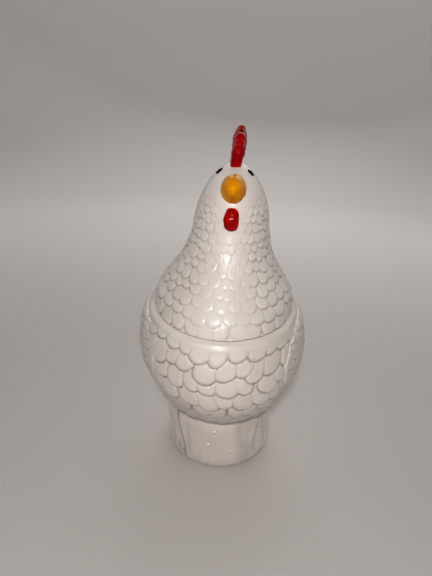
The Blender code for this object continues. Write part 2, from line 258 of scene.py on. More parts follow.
def stack_rings(name, rings, materials, zones, creases, first_pole=None, last_pole=None):
    """A surface through rings of equal length, closed at the poles that are given.

    zones gives the material of each gap between rings, and creases the crease of each ring.
    """
    count = rings[0].shape[0]
    verts = [np.asarray(ring) for ring in rings]
    shade = [np.broadcast_to(c, (count,)) for c in creases]
    k = np.arange(count)
    after = (k + 1) % count
    faces, marks = [], []
    for i in range(len(rings) - 1):
        a, b = i * count, (i + 1) * count
        faces.append(np.stack((a + k, a + after, b + after, b + k), axis=1))
        marks.append(np.full(count, zones[i]))
    quads = np.concatenate(faces).tolist()
    marks = np.concatenate(marks).tolist()
    points = np.concatenate(verts)
    shade = np.concatenate(shade)
    for pole, base, flip, mark in (
        (first_pole, 0, True, zones[0]),
        (last_pole, (len(rings) - 1) * count, False, zones[-1]),
    ):
        if pole is None:
            continue
        tip = len(points)
        points = np.vstack((points, [pole]))
        shade = np.append(shade, 1.0)
        for i in range(count):
            a, b = base + i, base + (i + 1) % count
            quads.append([b, a, tip] if flip else [a, b, tip])
            marks.append(mark)
    return make_object(name, points.tolist(), quads, materials, marks, shade)


def patch_shell(name, top, bottom, material, crease):
    """A closed shell between two grids of the same size, the top one outwards."""
    rows, columns = top.shape[:2]
    count = rows * columns
    index = np.arange(count).reshape(rows, columns)
    a, b, c, d = index[:-1, :-1], index[:-1, 1:], index[1:, 1:], index[1:, :-1]
    upper = np.stack((a, b, c, d), axis=-1).reshape(-1, 4)
    lower = upper[:, ::-1] + count
    edge = np.concatenate((index[0, :-1], index[:-1, -1], index[-1, :0:-1], index[:0:-1, 0]))
    follow = np.roll(edge, -1)
    sides = np.stack((edge, edge + count, follow + count, follow), axis=1)
    faces = np.concatenate((upper, lower, sides)).tolist()
    points = np.concatenate((top.reshape(-1, 3), bottom.reshape(-1, 3))).tolist()
    shade = np.concatenate((crease.ravel(), np.ones(count)))
    return make_object(name, points, faces, (material,), None, shade)


def weld(obj):
    """Joins the seam where the last ring lies on the first."""
    bm = bmesh.new()
    bm.from_mesh(obj.data)
    bmesh.ops.remove_doubles(bm, verts=bm.verts, dist=1e-6)
    bm.to_mesh(obj.data)
    bm.free()


# ---------------------------------------------------------------- materials
def new_material(name):
    material = bpy.data.materials.new(name)
    material.use_nodes = True
    nodes = material.node_tree.nodes
    return material, nodes, material.node_tree.links, nodes["Principled BSDF"]


def noise_node(nodes, links, scale, detail=2.0, roughness=0.5):
    place = nodes.new("ShaderNodeTexCoord")
    noise = nodes.new("ShaderNodeTexNoise")
    noise.inputs["Scale"].default_value = scale
    noise.inputs["Detail"].default_value = detail
    noise.inputs["Roughness"].default_value = roughness
    links.new(place.outputs["Object"], noise.inputs["Vector"])
    return noise


def ramp_node(nodes, links, source, stops):
    ramp = nodes.new("ShaderNodeValToRGB")
    elements = ramp.color_ramp.elements
    elements[0].position, elements[0].color = stops[0]
    elements[1].position, elements[1].color = stops[-1]
    for position, colour in stops[1:-1]:
        elements.new(position).color = colour
    links.new(source, ramp.inputs["Fac"])
    return ramp


def add_bump(nodes, links, shader, layers):
    """Chains bumps. layers lists each noise's scale and the bump's strength and depth in metres."""
    last = None
    for scale, strength, depth in layers:
        noise = noise_node(nodes, links, scale)
        bump = nodes.new("ShaderNodeBump")
        bump.inputs["Strength"].default_value = strength
        bump.inputs["Distance"].default_value = depth
        links.new(noise.outputs["Fac"], bump.inputs["Height"])
        if last:
            links.new(last.outputs["Normal"], bump.inputs["Normal"])
        last = bump
    links.new(last.outputs["Normal"], shader.inputs["Normal"])


GLAZE_IOR = 1.5


def white_glaze(name, low, high, coat, coat_roughness):
    """Thick gloss glaze, mottled, of a roughness from low to high, and greyer in the creases with
    painted shade.
    """
    material, nodes, links, shader = new_material(name)
    mottle = noise_node(nodes, links, 30, 3.0)
    tint = ramp_node(nodes, links, mottle.outputs["Fac"], (
        (0.30, (0.735, 0.685, 0.650, 1)),
        (0.70, (0.790, 0.745, 0.712, 1)),
    ))
    # painted shade: the crease attribute greys the glaze in grooves, strokes and pits, where shade
    # falls; on the foot it also carries streaks of tone
    painted_shade_and_streaks = nodes.new("ShaderNodeAttribute")
    painted_shade_and_streaks.attribute_name = "crease"
    depth = ramp_node(nodes, links, painted_shade_and_streaks.outputs["Fac"], (
        (0.0, (0.58, 0.55, 0.53, 1)),
        (1.0, (1.0, 1.0, 1.0, 1)),
    ))
    colour = nodes.new("ShaderNodeMix")
    colour.data_type = "RGBA"
    colour.blend_type = "MULTIPLY"
    colour.inputs[0].default_value = 1.0
    links.new(tint.outputs["Color"], colour.inputs[6])
    links.new(depth.outputs["Color"], colour.inputs[7])
    links.new(colour.outputs[2], shader.inputs["Base Color"])
    sheen = noise_node(nodes, links, 55)
    gloss = ramp_node(nodes, links, sheen.outputs["Fac"], (
        (0.3, (low, low, low, 1)),
        (0.7, (high, high, high, 1)),
    ))
    links.new(gloss.outputs["Color"], shader.inputs["Roughness"])
    shader.inputs["IOR"].default_value = GLAZE_IOR
    shader.inputs["Specular IOR Level"].default_value = 0.55
    shader.inputs["Coat Weight"].default_value = coat
    shader.inputs["Coat Roughness"].default_value = coat_roughness
    add_bump(nodes, links, shader, ((95, 0.35, 0.0006), (420, 0.22, 0.00012)))
    return material


def colour_glaze(name, dark, light, scale, roughness, lumps, grain):
    """A brushed-on colour, uneven in thickness, under clear glaze."""
    material, nodes, links, shader = new_material(name)
    brush = noise_node(nodes, links, scale, 3.0, 0.55)
    tint = ramp_node(nodes, links, brush.outputs["Fac"], (
        (0.32, (*dark, 1)),
        (0.68, (*light, 1)),
    ))
    links.new(tint.outputs["Color"], shader.inputs["Base Color"])
    shader.inputs["Roughness"].default_value = roughness
    shader.inputs["IOR"].default_value = GLAZE_IOR
    shader.inputs["Specular IOR Level"].default_value = 0.14
    shader.inputs["Coat Weight"].default_value = 0.08
    shader.inputs["Coat Roughness"].default_value = 0.05
    add_bump(nodes, links, shader, ((260, lumps, 0.0005), (900, grain, 0.0003)))
    return material


def bare_clay():
    """The unglazed rim and seat, rubbed clean before firing, a little stained by use."""
    material, nodes, links, shader = new_material("bare_clay")
    stain = noise_node(nodes, links, 120, 4.0, 0.6)
    tint = ramp_node(nodes, links, stain.outputs["Fac"], (
        (0.30, (0.26, 0.15, 0.09, 1)),
        (0.70, (0.52, 0.40, 0.30, 1)),
    ))
    links.new(tint.outputs["Color"], shader.inputs["Base Color"])
    shader.inputs["Roughness"].default_value = 0.85
    add_bump(nodes, links, shader, ((1400, 0.5, 0.0001),))
    return material


WHITE = white_glaze("white_glaze", low=0.33, high=0.46, coat=0.12, coat_roughness=0.12)
WHITE_FOOT = white_glaze("foot_glaze", low=0.10, high=0.18, coat=0.80, coat_roughness=0.05)
CLAY = bare_clay()
COMB_RED = colour_glaze(
    "comb_glaze", dark=(0.22, 0.001, 0.006), light=(0.47, 0.004, 0.013),
    scale=90, roughness=0.16, lumps=0.3, grain=0.30,
)
WATTLE_RED = colour_glaze(
    "wattle_glaze", dark=(0.28, 0.001, 0.002), light=(0.54, 0.004, 0.004),
    scale=320, roughness=0.14, lumps=0.5, grain=0.55,
)
BEAK_YELLOW = colour_glaze(
    "beak_glaze", dark=(0.62, 0.265, 0.003), light=(0.86, 0.385, 0.006),
    scale=110, roughness=0.22, lumps=0.15, grain=0.15,
)
EYE_BLACK = colour_glaze(
    "eye_glaze", dark=(0.006, 0.006, 0.006), light=(0.014, 0.012, 0.012),
    scale=200, roughness=0.08, lumps=0.1, grain=0.15,
)


# ---------------------------------------------------------------- where the wings lie
WING_LEADING = math.radians(47)
WING_TIP = math.radians(128)
WING_LEADING_Z = 0.0985
WING_TIP_Z = 0.1090
WING_HALF_HEIGHT = 0.0225
WING_SHOULDER = 0.35
WING_THICKNESS = 0.0038
WING_LENGTH = 0.094
WING_UNDERLAP = 0.0012      # how far the hidden face lies under the belly's surface
WING_EDGE_ROUNDING = 0.0048
WING_GRID = (210, 96)       # points along and across
WING_NOISE_HEIGHT = 0.06
FEATHER_WIDTH = 0.0066
FEATHERS_ACROSS = 40        # more than enough: the wing's middle is in the middle of them
LIP_RELIEF = 0.80
FEATHER_ROWS = (
    (0.0015, 0.019), (0.0185, 0.017), (0.0345, 0.0135), (0.0475, 0.0105),
    (0.0575, 0.0085), (0.0655, 0.0075), (0.0728, 0.0072), (0.0798, 0.0070),
)


def wing_half(u):
    """Half the wing's height at u, which runs from 0 at the leading edge to 1 at the tip."""
    front = np.sqrt(np.clip(1 - (1 - u / WING_SHOULDER) ** 2, 0, 1))
    behind = 1 - 0.8 * np.clip((u - WING_SHOULDER) / (1 - WING_SHOULDER), 0, 1) ** 1.7
    share = np.where(u < WING_SHOULDER, front, behind)
    share = share * np.sqrt(np.clip(1 - np.clip((u - 0.93) / 0.07, 0, 1) ** 2, 0.0004, 1))
    return WING_HALF_HEIGHT * np.maximum(share, 0.02)


def under_wing(angle, z):
    """1 where a wing covers the belly, falling to 0 at its edge. angle is from the breast."""
    u = (angle - WING_LEADING) / (WING_TIP - WING_LEADING)
    middle = WING_LEADING_Z + u * (WING_TIP_Z - WING_LEADING_Z)
    inside = wing_half(np.clip(u, 0, 1)) - np.abs(z - middle)
    between = smoothstep(0.0, 0.03, u) * (1 - smoothstep(0.97, 1.0, u))
    return smoothstep(0.0, 0.0022, inside) * between


# ---------------------------------------------------------------- the jar
AROUND = 600
THETA = np.arange(AROUND) * 2 * np.pi / AROUND
TURN = (THETA / (2 * np.pi))[None, :]
FROM_FRONT = np.minimum(THETA, 2 * np.pi - THETA)[None, :]      # from the breast, either way
STEP = 0.00062              # between rings of the outer surface
INNER_STEP = 0.0035         # between rings of the smooth inner surface
SCALES_AROUND = 30
JAR_PITCHES = (0.0118, 0.0090)      # between the rows of scales at the rim and at the floor
JAR_ROWS_END = 0.0970       # along the belly from the rim
SMOOTH_BAND = 0.0028        # the plain band under the rim
BAND_RELIEF = 0.85
UNDER_WING_RELIEF = 0.35
JAR_MEAN_RELIEF = 0.60      # scales stand out from the smooth surface above this, and sink below it


def make_jar():
    rows, along = even_rows((FLOOR_EDGE, *BELLY), STEP)
    smooth = ovals(rows, THETA)
    normals = grid_normals(smooth)
    height = rows[:, 0][:, None]
    s = along[:, None]
    up = s / along[-1]
    y = s + 0.0012 * value_noise(TURN, up, 9, 3, seed=11)
    x = TURN * SCALES_AROUND + 0.35 * value_noise(TURN, up, 7, 4, seed=12)
    tips = rows_of_tips(along[-1] - JAR_PITCHES[0], along[-1] - JAR_ROWS_END, *JAR_PITCHES)
    relief, crease = plumage(
        x, y, tips, SCALES_AROUND, seed=5, spread=1.28, loose=1.4, edge=0.46, length=0.72,
    )
    band = along[-1] - SMOOTH_BAND
    into_band = smoothstep(band - 0.0026, band + 0.0006, y)
    relief = relief * (1 - into_band) + BAND_RELIEF * into_band
    # painted shade in the creases between scales, none on the plain band
    crease = crease * (1 - into_band) + into_band
    covered = under_wing(FROM_FRONT, height)
    relief = relief * (1 - covered) + UNDER_WING_RELIEF * covered
    fade = smoothstep(BELLY_FLOOR_Z + 0.0015, BELLY_FLOOR_Z + 0.0060, height)
    swell = value_noise(TURN, up, 26, 11, seed=13)
    deep = 0.0030 + 0.0008 * smoothstep(0.25, 0.70, FROM_FRONT)
    depth = (deep * (relief - JAR_MEAN_RELIEF) + 0.00032 * swell * (1 - covered)) * fade
    outer = smooth + normals * depth[..., None]

    rim_rows = np.array((
        (0.1280, 0.0522, 0.0671, 0.0651, -0.0005),
        (0.1286, 0.0517, 0.0665, 0.0645, -0.0005),
        (0.12893, 0.0510, 0.0657, 0.0637, -0.0005),
        (0.1290, 0.0502, 0.0649, 0.0629, -0.0005),
        (0.1290, 0.0484, 0.0632, 0.0612, -0.0005),
        (0.12885, 0.0477, 0.0625, 0.0605, -0.0005),
        (0.1284, 0.0473, 0.0621, 0.0601, -0.0005),
        (0.1252, 0.0472, 0.0620, 0.0600, -0.0005),
        (0.1246, 0.0475, 0.0623, 0.0603, -0.0005),
    ))
    rim = ovals(rim_rows, THETA)
    inner_rows, _ = even_rows(BELLY[::-1], INNER_STEP)
    inner_z = inner_rows[:, 0]
    inner_rows = inner_rows[(inner_z < 0.1235) & (inner_z > BELLY_FLOOR_Z + 0.0060)]
    upright = ovals(inner_rows[::-1], THETA)
    inner = (upright - grid_normals(upright) * JAR_WALL)[::-1]
    floor_z = BELLY_FLOOR_Z + JAR_WALL
    floor_rows = np.array((
        (floor_z + 0.0012, 0.0370, 0.0430, 0.0420, 0.0018),
        (floor_z, 0.0300, 0.0350, 0.0340, 0.0018),
        (floor_z, 0.0150, 0.0170, 0.0170, 0.0018),
    ))
    floor = ovals(floor_rows, THETA)
    rings = [*outer, *rim, *inner, *floor]
    zones = [0] * (len(outer) + 3) + [1] * 4 + [0] * (len(inner) + len(floor) + 1)
    creases = [*crease, *([1.0] * (len(rings) - len(outer)))]
    below = (FOOT_SWAY, AXIS_Y, BELLY_FLOOR_Z)
    inside = (FOOT_SWAY, AXIS_Y, floor_z)
    return stack_rings("jar_skin", rings, (WHITE, CLAY), zones, creases, below, inside)


# ---------------------------------------------------------------- the lid
LID_PITCHES = (0.0088, 0.0044)      # between the rows of scales at the seam and at the face
LID_ROWS = (-0.0010, 0.0930)        # where they start and end, along the neck from the seam
LID_INSIDE = (0.1345, 0.2200)       # the heights between which the hollow follows the neck
LID_MEAN_RELIEF = 0.55
BREAST_SHARE = 0.26         # of the relief is left down the middle of the breast
SEAM_SHARE = 0.3            # of what is lost there comes back next to the seam


def make_lid():
    rows, along = even_rows(NECK, STEP)
    smooth = ovals(rows, THETA)
    normals = grid_normals(smooth)
    s = along[:, None]
    up = s / along[-1]
    y = s + 0.0008 * value_noise(TURN, up, 11, 4, seed=21)
    x = TURN * SCALES_AROUND + 0.3 * value_noise(TURN, up, 9, 5, seed=22)
    tips = rows_of_tips(*LID_ROWS, *LID_PITCHES)
    relief, crease = plumage(
        x, y, tips, SCALES_AROUND, seed=8, spread=1.26, loose=1.1, edge=0.48, length=0.82,
    )
    # the scales die out below the face, and are worn low down the middle of the breast
    end = 0.0870 - 0.020 * smoothstep(0.5, 0.1, FROM_FRONT)
    end = end + 0.004 * value_noise(TURN, 0.5, 7, 1, seed=23)
    fade = 1 - smoothstep(end - 0.012, end + 0.004, s)
    front = BREAST_SHARE + (1 - BREAST_SHARE) * smoothstep(0.24, 0.70, FROM_FRONT)
    front = front + (1 - front) * (1 - smoothstep(0.004, 0.022, s)) * SEAM_SHARE
    swell = value_noise(TURN, up, 24, 13, seed=24)
    deep = 0.0029 - 0.0013 * up
    depth = (deep * (relief - LID_MEAN_RELIEF) + 0.00026 * swell) * fade * front
    depth = depth * smoothstep(-0.0004, 0.0011, s)
    outer = smooth + normals * depth[..., None]
    # painted shade in the creases, fading where the scales die out and weaker down the middle of
    # the breast
    crease = 1 - (1 - crease) * fade * front**2

    seat = SEAM_Z + LID_REST
    flange_z = SEAM_Z - FLANGE_DEPTH
    reach = [distance - FLANGE_CLEARANCE for distance in MOUTH[1:4]]
    bore = [distance - LID_WALL for distance in reach]
    sway = MOUTH[4]

    def oval_row(z, base, offset):
        return (z, base[0] + offset, base[1] + offset, base[2] + offset, sway)

    under_rows = np.array((
        oval_row(flange_z + 0.0004, bore, 0.0004),
        oval_row(flange_z, bore, 0.0010),
        oval_row(flange_z, reach, -0.0010),
        oval_row(flange_z + 0.0004, reach, -0.0002),
        oval_row(flange_z + 0.0012, reach, 0.0),
        oval_row(seat - 0.0005, reach, 0.0),
        oval_row(seat, reach, 0.0005),
        oval_row(seat, NECK[0][1:4], -0.0012),
        oval_row(seat + 0.0001, NECK[0][1:4], -0.0004),
    ))
    under = ovals(under_rows, THETA)
    inner_rows, _ = even_rows(NECK, INNER_STEP)
    upright = ovals(inner_rows, THETA)
    upright = upright - grid_normals(upright) * LID_WALL
    keep = (inner_rows[:, 0] > LID_INSIDE[0]) & (inner_rows[:, 0] < LID_INSIDE[1])
    inner = upright[keep][::-1]
    throat_rows = oval_row(seat + 0.0028, bore, 0.0008), oval_row(seat - 0.0005, bore, 0.0)
    throat = ovals(np.array(throat_rows), THETA)
    top = (HEAD_SWAY, AXIS_Y, HEAD_TOP_Z)
    vault = (HEAD_SWAY, AXIS_Y, HEAD_TOP_Z - LID_WALL)
    rings = [*inner, *throat, *under, *outer[1:]]
    before = len(rings) - (len(outer) - 1)
    zones = [0] * (before - 4) + [1] * 3 + [0] * (len(outer) - 1)
    creases = [*([1.0] * before), *crease[1:]]
    return stack_rings("lid_skin", rings, (WHITE, CLAY), zones, creases, vault, top)


# ---------------------------------------------------------------- the pedestal
FOOT_AROUND = 640
FOOT_STEP = 0.0004
STROKE_DEPTH = 0.0010
PIT_DEPTH = 0.0006
DROP_HEIGHT = 0.0021
# Strokes of the tool at the front: degrees from the breast at the top and at the bottom, sideways
# swing in degrees, the shares of the height it runs from and to, share of STROKE_DEPTH, width.
FOOT_CUTS = (
    (-46, -38, 4.0, 0.10, 0.98, 1.15, 0.0015),
    (-40, -22, -2.0, 0.22, 0.82, 0.28, 0.0024),
    (-60, -55, 2.0, 0.15, 0.80, 0.38, 0.0020),
    (24, 28, 2.0, 0.45, 0.98, 0.20, 0.0024),
    (44, 40, -2.5, 0.30, 0.98, 0.30, 0.0026),
    (55, 60, 2.0, 0.25, 0.90, 0.34, 0.0022),
)
# Pits and drops: degrees from the breast and share of the height.
FOOT_PITS = (
    (-50, 0.33), (-47, 0.27), (-44, 0.22), (-42, 0.29),
    (-39, 0.20), (-46, 0.18), (46, 0.72), (52, 0.66),
)
FOOT_DROPS = ((-2, 0.78), (-12, 0.60), (-9, 0.50), (14, 0.41))
FOOT_STROKES_BEHIND = 9     # more strokes, drawn at random round the sides and the back


def around_foot(theta, angles):
    """How far round the pedestal theta is from the angles, in metres."""
    return (np.mod(theta - angles + np.pi, 2 * np.pi) - np.pi) * FOOT_RADIUS


def make_pedestal():
    """A thrown ring, its outside worked with shallow strokes that run down and round."""
    outer, inner = FOOT_RADIUS, FOOT_RADIUS - FOOT_WALL
    profile = (
        (FOOT_HEIGHT, outer - 0.0032),
        (FOOT_HEIGHT - 0.0011, outer - 0.0012),
        (FOOT_HEIGHT - 0.0057, outer - 0.0003),
        (0.0240, outer),
        (0.0110, outer - 0.0001),
        (0.0050, outer - 0.0008),
        (0.0020, outer - 0.0021),
        (0.0006, outer - 0.0033),
        (0.0000, outer - 0.0044),
    )
    table = [(z, radius, radius, radius, FOOT_SWAY) for z, radius in profile[::-1]]
    rows, along = even_rows(table, FOOT_STEP)
    theta = (np.arange(FOOT_AROUND) * 2 * np.pi / FOOT_AROUND)[None, :]
    turn = theta / (2 * np.pi)
    smooth = ovals(rows, theta)
    normals = grid_normals(smooth)
    v = along[:, None] / along[-1]
    bend = 0.012 * value_noise(turn, v, 7, 2, seed=31)
    streaks = value_noise(turn + bend, v, 64, 1, seed=32)
    lumps = value_noise(turn, v, 13, 4, seed=34)
    rng = np.random.default_rng(35)
    strokes, pits = list(FOOT_CUTS), list(FOOT_PITS)
    for k in range(FOOT_STROKES_BEHIND):
        top = 78 + 23 * k + rng.uniform(-7, 7)
        strokes.append((
            top, top + rng.uniform(-12, 16), rng.uniform(-3, 3), rng.uniform(0.1, 0.3),
            rng.uniform(0.75, 1.0), rng.uniform(0.25, 0.7), rng.uniform(0.0014, 0.0026),
        ))
        if k % 3 == 0:
            pits.append((top + rng.uniform(5, 14), rng.uniform(0.2, 0.7)))
    cuts = np.zeros((len(rows), FOOT_AROUND))
    for top, bottom, swing, low, high, deep, wide in strokes:
        path = np.radians(bottom + (top - bottom) * v + swing * np.sin(6.0 * v))
        away = around_foot(theta, path)
        begin = smoothstep(low - 0.10, low + 0.10, v)
        end = 1 - smoothstep(high - 0.12, high + 0.04, v)
        cuts = np.maximum(cuts, deep * (begin * end) * np.exp(-(away / wide) ** 2))

    def spots(places, wide):
        height = np.zeros(cuts.shape)
        for angle, high in places:
            across = around_foot(theta, math.radians(angle))
            away = across**2 + ((v - high) * along[-1]) ** 2
            height = np.maximum(height, np.exp(-away / wide**2))
        return height

    dents = spots(pits, 0.0012)
    beads = spots(FOOT_DROPS, 0.0010)
    fade = smoothstep(0.02, 0.13, v) * (1 - smoothstep(0.93, 1.0, v))
    depth = -STROKE_DEPTH * cuts - PIT_DEPTH * dents + DROP_HEIGHT * beads
    depth = (depth + 0.00016 * streaks + 0.0005 * lumps) * fade
    skin = smooth + normals * depth[..., None]
    # painted shade in the strokes and pits, where shade falls in them, plus streaks of tone at
    # random
    painted_shade_and_streaks = 0.8 * cuts + 0.6 * dents + 0.28 * np.clip(streaks, 0, 1)
    crease = 1 - np.clip(painted_shade_and_streaks, 0, 1) * fade
    inside_rows = np.array((
        (FOOT_HEIGHT, inner + 0.0010, inner + 0.0010, inner + 0.0010, FOOT_SWAY),
        (FOOT_HEIGHT - 0.0010, inner, inner, inner, FOOT_SWAY),
        (0.0250, inner, inner, inner, FOOT_SWAY),
        (0.0012, inner, inner, inner, FOOT_SWAY),
        (0.0003, inner + 0.0003, inner + 0.0003, inner + 0.0003, FOOT_SWAY),
        (0.0, inner + 0.0010, inner + 0.0010, inner + 0.0010, FOOT_SWAY),
    ))
    inside = ovals(inside_rows, theta)
    rings = [*skin, *inside, skin[0]]
    zones = [0] * (len(skin) + 3) + [1, 1, 1]
    creases = [*crease, *([1.0] * (len(inside) + 1))]
    foot = stack_rings("pedestal", rings, (WHITE_FOOT, CLAY), zones, creases)
    weld(foot)
    return foot


# ---------------------------------------------------------------- the wings
def belly_at(theta, z):
    """Points of the belly at angles and heights given as grids of the same shape."""
    side, front, back, sway = reaches_at(BELLY, z)
    reach = np.where(np.cos(theta) > 0, front, back)
    return np.stack((sway + side * np.sin(theta), AXIS_Y - reach * np.cos(theta), z), axis=-1)


def make_wing(name, side, seed, lift):
    """A wing of overlapping feathers that trail back from a smooth leading edge.

    side is 1 for the hen's left and -1 for its right. lift is the leading edge's thickness, as a
    share of WING_THICKNESS.
    """
    columns, rows = WING_GRID
    u = np.linspace(0, 1, columns)[None, :]
    v = np.linspace(-1, 1, rows)[:, None]
    half = wing_half(u)
    angle = side * (WING_LEADING + u * (WING_TIP - WING_LEADING))
    height = v * half
    z = WING_LEADING_Z + u * (WING_TIP_Z - WING_LEADING_Z) + height
    theta = np.broadcast_to(angle, z.shape)
    skin = belly_at(theta, z)
    normals = grid_normals(skin, wraps=False) * side

    back = np.broadcast_to(u * WING_LENGTH, z.shape)
    over = height / WING_NOISE_HEIGHT + 0.5
    x = height / FEATHER_WIDTH + FEATHERS_ACROSS / 2
    x = x + 0.18 * value_noise(u, over, 5, 4, seed=seed)
    y = WING_LENGTH - back + 0.0012 * value_noise(u, over, 6, 5, seed=seed + 1)
    sweep = 0.16 * np.abs(height)
    relief, crease = plumage(
        x, y - sweep, FEATHER_ROWS, FEATHERS_ACROSS,
        seed=seed + 2, spread=1.06, loose=0.7, edge=0.42,
    )
    quill = 0.12 * np.exp(-((np.mod(x + 0.25, 0.5) - 0.25) / 0.06) ** 2)
    from_edge = np.minimum((1 - np.abs(v)) * half, back)
    lip = smoothstep(0.0065, 0.0030, back)
    relief = relief * (1 - lip) + LIP_RELIEF * lip
    # painted shade in the creases between feathers, none on the smooth lip
    crease = crease * (1 - lip) + lip
    inwards = np.clip(from_edge / WING_EDGE_ROUNDING, 0, 1)
    rounding = np.sqrt(np.clip(1 - (1 - inwards) ** 2, 0, 1))
    body = WING_THICKNESS * (lift + (0.86 - lift) * smoothstep(0.003, 0.045, back))
    feathers = 0.0011 * (relief - 0.5) - 0.0004 * quill * (1 - lip)
    depth = (body + feathers * rounding) * rounding
    top = skin + normals * depth[..., None]
    bottom = skin - normals * WING_UNDERLAP
    if side < 0:
        top, bottom, crease = top[:, ::-1], bottom[:, ::-1], crease[:, ::-1]
    return patch_shell(name, top, bottom, WHITE, crease)


# ---------------------------------------------------------------- the tail
# Place behind the axis, height, lean from level in degrees, half width and half depth.
TAIL = (
    (0.0560, 0.0900, 22, 0.0250, 0.0220),
    (0.0740, 0.1040, 42, 0.0235, 0.0180),
    (0.0850, 0.1220, 62, 0.0235, 0.0146),
    (0.0895, 0.1390, 72, 0.0240, 0.0114),
    (0.0915, 0.1550, 78, 0.0205, 0.0080),
    (0.0925, 0.1640, 80, 0.0125, 0.0050),
)
TAIL_TIP = (0.0930, 0.1675)
TAIL_AROUND = 300
TAIL_RINGS = 150
TAIL_FEATHERS_AROUND = 18
TAIL_ROWS = (
    (0.0005, 0.022), (0.0150, 0.020), (0.0300, 0.017),
    (0.0450, 0.014), (0.0570, 0.012), (0.0680, 0.011),
)
TAIL_END_SHARES = (0.15, 0.30, 0.45, 0.60, 0.75, 0.90)


def outside_the_cavity(points):
    """The points, with those inside the jar moved out to the middle of its wall."""
    z = points[..., 2]
    side, _, back, sway = reaches_at(BELLY, z)
    x, y = points[..., 0] - sway, points[..., 1] - AXIS_Y
    ratio = np.hypot(x / side, y / back)
    wanted = 1 - 0.5 * JAR_WALL / side
    push = np.where((ratio < wanted) & (z < SEAM_Z), wanted / np.maximum(ratio, 1e-6), 1.0)
    return np.stack((sway + x * push, AXIS_Y + y * push, z), axis=-1)


def make_tail():
    """An upswept fan of feathers, each row tucked under the one nearer the body."""
    t = np.linspace(0, len(TAIL) - 1, TAIL_RINGS)
    spine = catmull_rom(TAIL, t)
    place, z, lean, half_width, half_depth = (column[:, None] for column in spine.T)
    end = smoothstep(len(TAIL) - 2.0, len(TAIL) - 1, t)[:, None]
    lean = np.radians(lean)
    phi = np.arange(TAIL_AROUND)[None, :] * 2 * np.pi / TAIL_AROUND
    points = np.stack((
        half_width * np.sin(phi),
        AXIS_Y + place - np.sin(lean) * half_depth * np.cos(phi),
        z + np.cos(lean) * half_depth * np.cos(phi),
    ), axis=-1)
    normals = grid_normals(points)
    steps = np.hypot(np.diff(spine[:, 0]), np.diff(spine[:, 1]))
    along = np.concatenate(([0.0], np.cumsum(steps)))
    s = along[:, None]
    up = s / along[-1]
    turn = phi / (2 * np.pi)
    x = turn * TAIL_FEATHERS_AROUND + 0.25 * value_noise(turn, up, 7, 3, seed=61)
    y = along[-1] - s + 0.0015 * value_noise(turn, up, 7, 4, seed=62)
    relief, crease = plumage(
        x, y, TAIL_ROWS, TAIL_FEATHERS_AROUND, seed=63, spread=1.08, loose=0.6, edge=0.42,
    )
    depth = 0.0016 * (relief - 0.55) * (1 - 0.5 * end)
    skin = points + normals * depth[..., None]
    root = np.array((0, AXIS_Y + TAIL[0][0], TAIL[0][1]))
    tip = (0, AXIS_Y + TAIL_TIP[0], TAIL_TIP[1])
    # the hidden end is closed by rings that bend with the jar's wall
    hidden = [root + (skin[0] - root) * share for share in TAIL_END_SHARES]
    rings = [*outside_the_cavity(np.array([*hidden, *skin]))]
    zones = [0] * (len(rings) - 1)
    # painted shade in the creases between the tail's feathers
    creases = [*([1.0] * len(hidden)), *crease]
    return stack_rings("tail_fan", rings, (WHITE,), zones, creases, outside_the_cavity(root), tip)


# ---------------------------------------------------------------- the comb
# Each lobe's place behind the axis, height and radius.
COMB_LOBES = (
    (-0.0056, 0.2343, 0.0052),
    (0.0022, 0.2399, 0.0059),
    (0.0110, 0.2434, 0.0066),
)
# Each swelling's place, height, radius and half thickness.
COMB_SWELLS = (
    (-0.0056, 0.2338, 0.0054, 0.0044),
    (-0.0018, 0.2364, 0.0060, 0.0045),
    (0.0022, 0.2392, 0.0063, 0.0048),
    (0.0066, 0.2412, 0.0068, 0.0048),
    (0.0110, 0.2418, 0.0081, 0.0048),
)
COMB_THICKNESS = 0.0070
COMB_EDGE = 0.0028
COMB_ROOT_Z = 0.2150
COMB_FRONT = -0.0100
COMB_BACK = 0.0165
COMB_LEAN = math.radians(8)
COMB_TURN = math.radians(3)
COMB_TAPER = 0.32           # of the thickness is lost towards the top
COMB_VOXEL = 0.00036
COMB_UNEVENNESS = 0.00011


def comb_outline():
    """The side outline: three lobes on a straight root."""
    points = [(COMB_FRONT, COMB_ROOT_Z)]
    for place, z, radius in COMB_LOBES:
        for degrees in range(190, 9, -10):
            angle = math.radians(degrees)
            points.append((place + radius * math.cos(angle), z + radius * math.sin(angle)))
    outside = [
        (y, z) for y, z in points
        if all(math.hypot(y - y0, z - z0) > radius - 1e-6 for y0, z0, radius in COMB_LOBES)
    ]
    return outside + [(COMB_BACK, COMB_ROOT_Z)]


def comb_stand():
    """The matrix that sets the flat comb up on the crown."""
    upright = Euler((math.pi / 2, 0, math.pi / 2)).to_matrix().to_4x4()
    lean = Matrix.Rotation(COMB_LEAN, 4, "Y")
    turn = Matrix.Rotation(COMB_TURN, 4, "Z")
    crown = Matrix.Translation(CROWN + Vector((0, AXIS_Y, 0)))
    return crown @ turn @ lean @ upright


